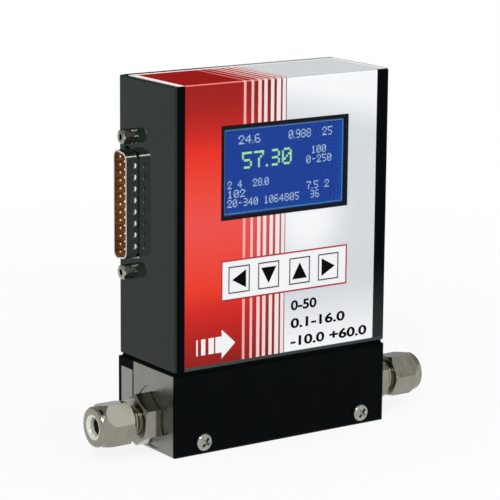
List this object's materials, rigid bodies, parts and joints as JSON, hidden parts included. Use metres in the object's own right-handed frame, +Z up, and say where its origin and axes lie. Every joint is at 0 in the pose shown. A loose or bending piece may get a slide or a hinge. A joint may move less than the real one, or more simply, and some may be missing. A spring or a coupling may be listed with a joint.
{
  "type": "gas flow meter",
  "caption": "Inline gas flow meter: steel flow body with a tube fitting at each end, black housing, display, film keys and multi-way plug.",
  "frame": {"origin": "middle of the underside of the base, halfway along, across and on the resting plane", "axes": "+X along the gas path to the outlet, +Y to the rear, +Z up; the display faces -Y"},
  "size_m": [0.137, 0.041, 0.128],
  "materials": {
    "stainless": "fine milled stainless steel",
    "fitting_steel": "turned and polished stainless steel",
    "spring_steel": "bright spring steel",
    "black_plate": "black satin powder coat",
    "black_housing": "black semi-gloss paint",
    "bar_aluminium": "plain milled aluminium",
    "screw_steel": "plain steel screws",
    "gasket_rubber": "black rubber",
    "printed_film": "printed film in red and pale grey",
    "key_film": "white film",
    "circuit_board": "green laminate",
    "bezel_black": "black frame",
    "clear_lens": "clear lens",
    "display_blue": "blue graphic display",
    "spacer_brass": "nickel-plated brass",
    "chip_black": "black moulding",
    "can_aluminium": "drawn aluminium can",
    "chassis_steel": "zinc-plated sheet",
    "plug_shell_steel": "tinned steel shell",
    "plug_moulding": "dark brown moulding",
    "gold_pins": "gold-plated pins",
    "lock_steel": "nickel-plated screw locks"
  },
  "bodies": {
    "root": {"flow_body": "stainless", "laminar_element": "stainless", "element_rings": "spring_steel", "inlet_connector": "fitting_steel", "outlet_connector": "fitting_steel", "inlet_nut": "fitting_steel", "outlet_nut": "fitting_steel", "front_ferrules": "fitting_steel", "back_ferrules": "fitting_steel", "front_plate": "black_plate", "rear_plate": "black_plate", "rear_bar": "bar_aluminium", "front_plate_screws": "screw_steel", "rear_plate_screws": "screw_steel", "housing_gasket": "gasket_rubber", "upper_housing": "black_housing", "cover_screws": "screw_steel", "cover_nuts": "screw_steel", "front_overlay": "printed_film", "keypad_spacer": "key_film", "key_domes": "spring_steel", "keypad_backing": "circuit_board", "display_bezel": "bezel_black", "display_window": "clear_lens", "display_panel": "display_blue", "display_board": "circuit_board", "main_board": "circuit_board", "board_spacers": "spacer_brass", "spacer_screws": "screw_steel", "board_chips": "chip_black", "board_capacitors": "can_aluminium", "stacking_connector": "chip_black", "chassis": "chassis_steel", "chassis_screws": "screw_steel", "board_screws": "screw_steel", "differential_sensor": "chip_black", "absolute_sensor": "can_aluminium", "temperature_sensor": "fitting_steel", "sensor_seals": "gasket_rubber", "sensor_board": "circuit_board", "connector_shell": "plug_shell_steel", "connector_insulator": "plug_moulding", "connector_rear_shell": "plug_shell_steel", "connector_pins": "gold_pins", "jackscrews": "lock_steel", "jackscrew_nuts": "lock_steel"}
  },
  "joints": []
}
